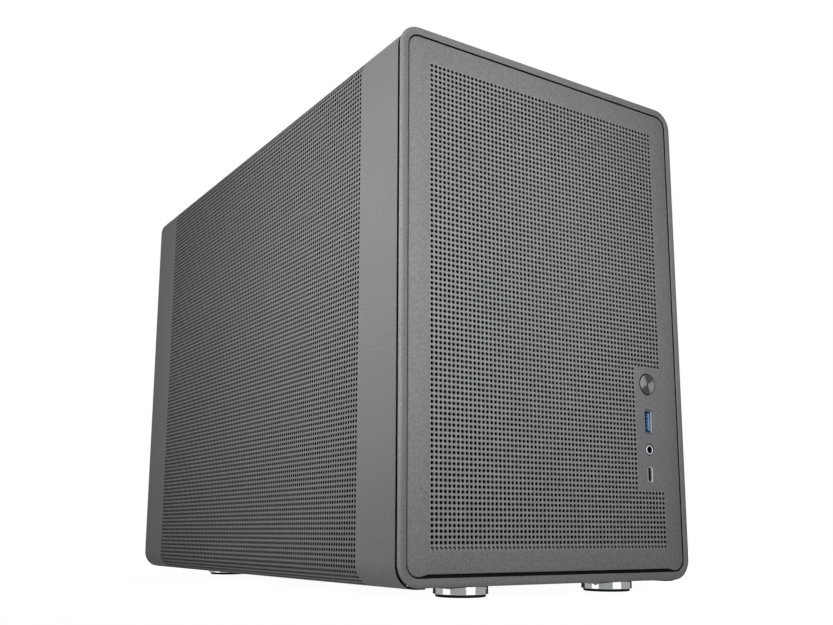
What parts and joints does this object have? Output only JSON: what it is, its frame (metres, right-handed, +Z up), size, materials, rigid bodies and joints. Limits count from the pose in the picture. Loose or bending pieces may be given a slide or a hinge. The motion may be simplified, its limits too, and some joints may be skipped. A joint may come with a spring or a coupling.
{
  "type": "mini tower pc case",
  "caption": "Compact upright computer case with perforated front, side and top panels that pull off a steel chassis, standing on short chrome feet.",
  "frame": {"origin": "on the floor under the middle of the case's bounding box", "axes": "+Z up, the perforated front with its ports faces -Y, +X to the right as seen from the front"},
  "size_m": [0.208, 0.3926, 0.3042],
  "materials": {
    "frame_plastic": "satin grey",
    "powder_coat": "fine grained grey powder coat",
    "filter_mesh": "fine black dust mesh",
    "chassis_steel": "satin black",
    "screw_steel": "black",
    "brass": "plain",
    "black_plastic": "moulded black",
    "button_metal": "dark turned metal with circular marks",
    "circuit_board": "green solder mask",
    "port_steel": "nickel plated",
    "blue_plastic": "moulded blue",
    "chrome": "mirror bright",
    "rubber": "black"
  },
  "bodies": {
    "chassis": {"front_frame": "frame_plastic", "top_panel": "powder_coat", "chassis_floor": "chassis_steel", "chassis_front": "chassis_steel", "chassis_rear": "chassis_steel", "chassis_roof": "chassis_steel", "motherboard_tray": "chassis_steel", "supply_bracket": "chassis_steel", "drive_tray": "chassis_steel", "port_bracket": "chassis_steel", "port_board": "circuit_board", "power_switch": "black_plastic", "wide_port_shell": "port_steel", "wide_port_tongue": "blue_plastic", "narrow_port_shell": "port_steel", "headset_jack": "port_steel", "power_inlet": "black_plastic", "slot_cover_1": "chassis_steel", "slot_cover_2": "chassis_steel", "slot_cover_3": "chassis_steel", "slot_cover_4": "chassis_steel", "slot_clamp": "chassis_steel", "clamp_screw": "screw_steel", "fan_frame": "black_plastic", "fan_screw_1": "screw_steel", "fan_screw_2": "screw_steel", "fan_screw_3": "screw_steel", "fan_screw_4": "screw_steel", "standoff_1": "brass", "standoff_2": "brass", "standoff_3": "brass", "standoff_4": "brass", "standoff_5": "brass", "standoff_6": "brass", "foot_front_left": "chrome", "foot_front_right": "chrome", "foot_rear_left": "chrome", "foot_rear_right": "chrome", "foot_pad_front_left": "rubber", "foot_pad_front_right": "rubber", "foot_pad_rear_left": "rubber", "foot_pad_rear_right": "rubber"},
    "front_cover": {"front_panel": "powder_coat", "front_filter": "filter_mesh", "front_stud_1": "black_plastic", "front_stud_2": "black_plastic", "front_stud_3": "black_plastic", "front_stud_4": "black_plastic"},
    "left_cover": {"left_panel": "powder_coat", "left_stud_1": "black_plastic", "left_stud_2": "black_plastic", "left_stud_3": "black_plastic", "left_stud_4": "black_plastic"},
    "right_cover": {"right_panel": "powder_coat", "right_stud_1": "black_plastic", "right_stud_2": "black_plastic", "right_stud_3": "black_plastic", "right_stud_4": "black_plastic"},
    "button": {"power_button": "button_metal"},
    "rotor": {"fan_rotor": "black_plastic"}
  },
  "joints": [
    {"name": "front_panel_pull", "type": "slide", "parent": "chassis", "child": "front_cover", "axis": [0, -1, 0], "range_m": [0, 0.04]},
    {"name": "left_panel_pull", "type": "slide", "parent": "chassis", "child": "left_cover", "axis": [-1, 0, 0], "range_m": [0, 0.05]},
    {"name": "right_panel_pull", "type": "slide", "parent": "chassis", "child": "right_cover", "axis": [1, 0, 0], "range_m": [0, 0.05]},
    {"name": "power_button_press", "type": "slide", "parent": "chassis", "child": "button", "axis": [0, 1, 0], "range_m": [0, 0.001], "stiffness_N_per_m": 2000},
    {"name": "fan_spin", "type": "hinge", "parent": "chassis", "child": "rotor", "pos_m": [-0.031, 0.17115, 0.207], "axis": [0, 1, 0], "continuous": true}
  ]
}
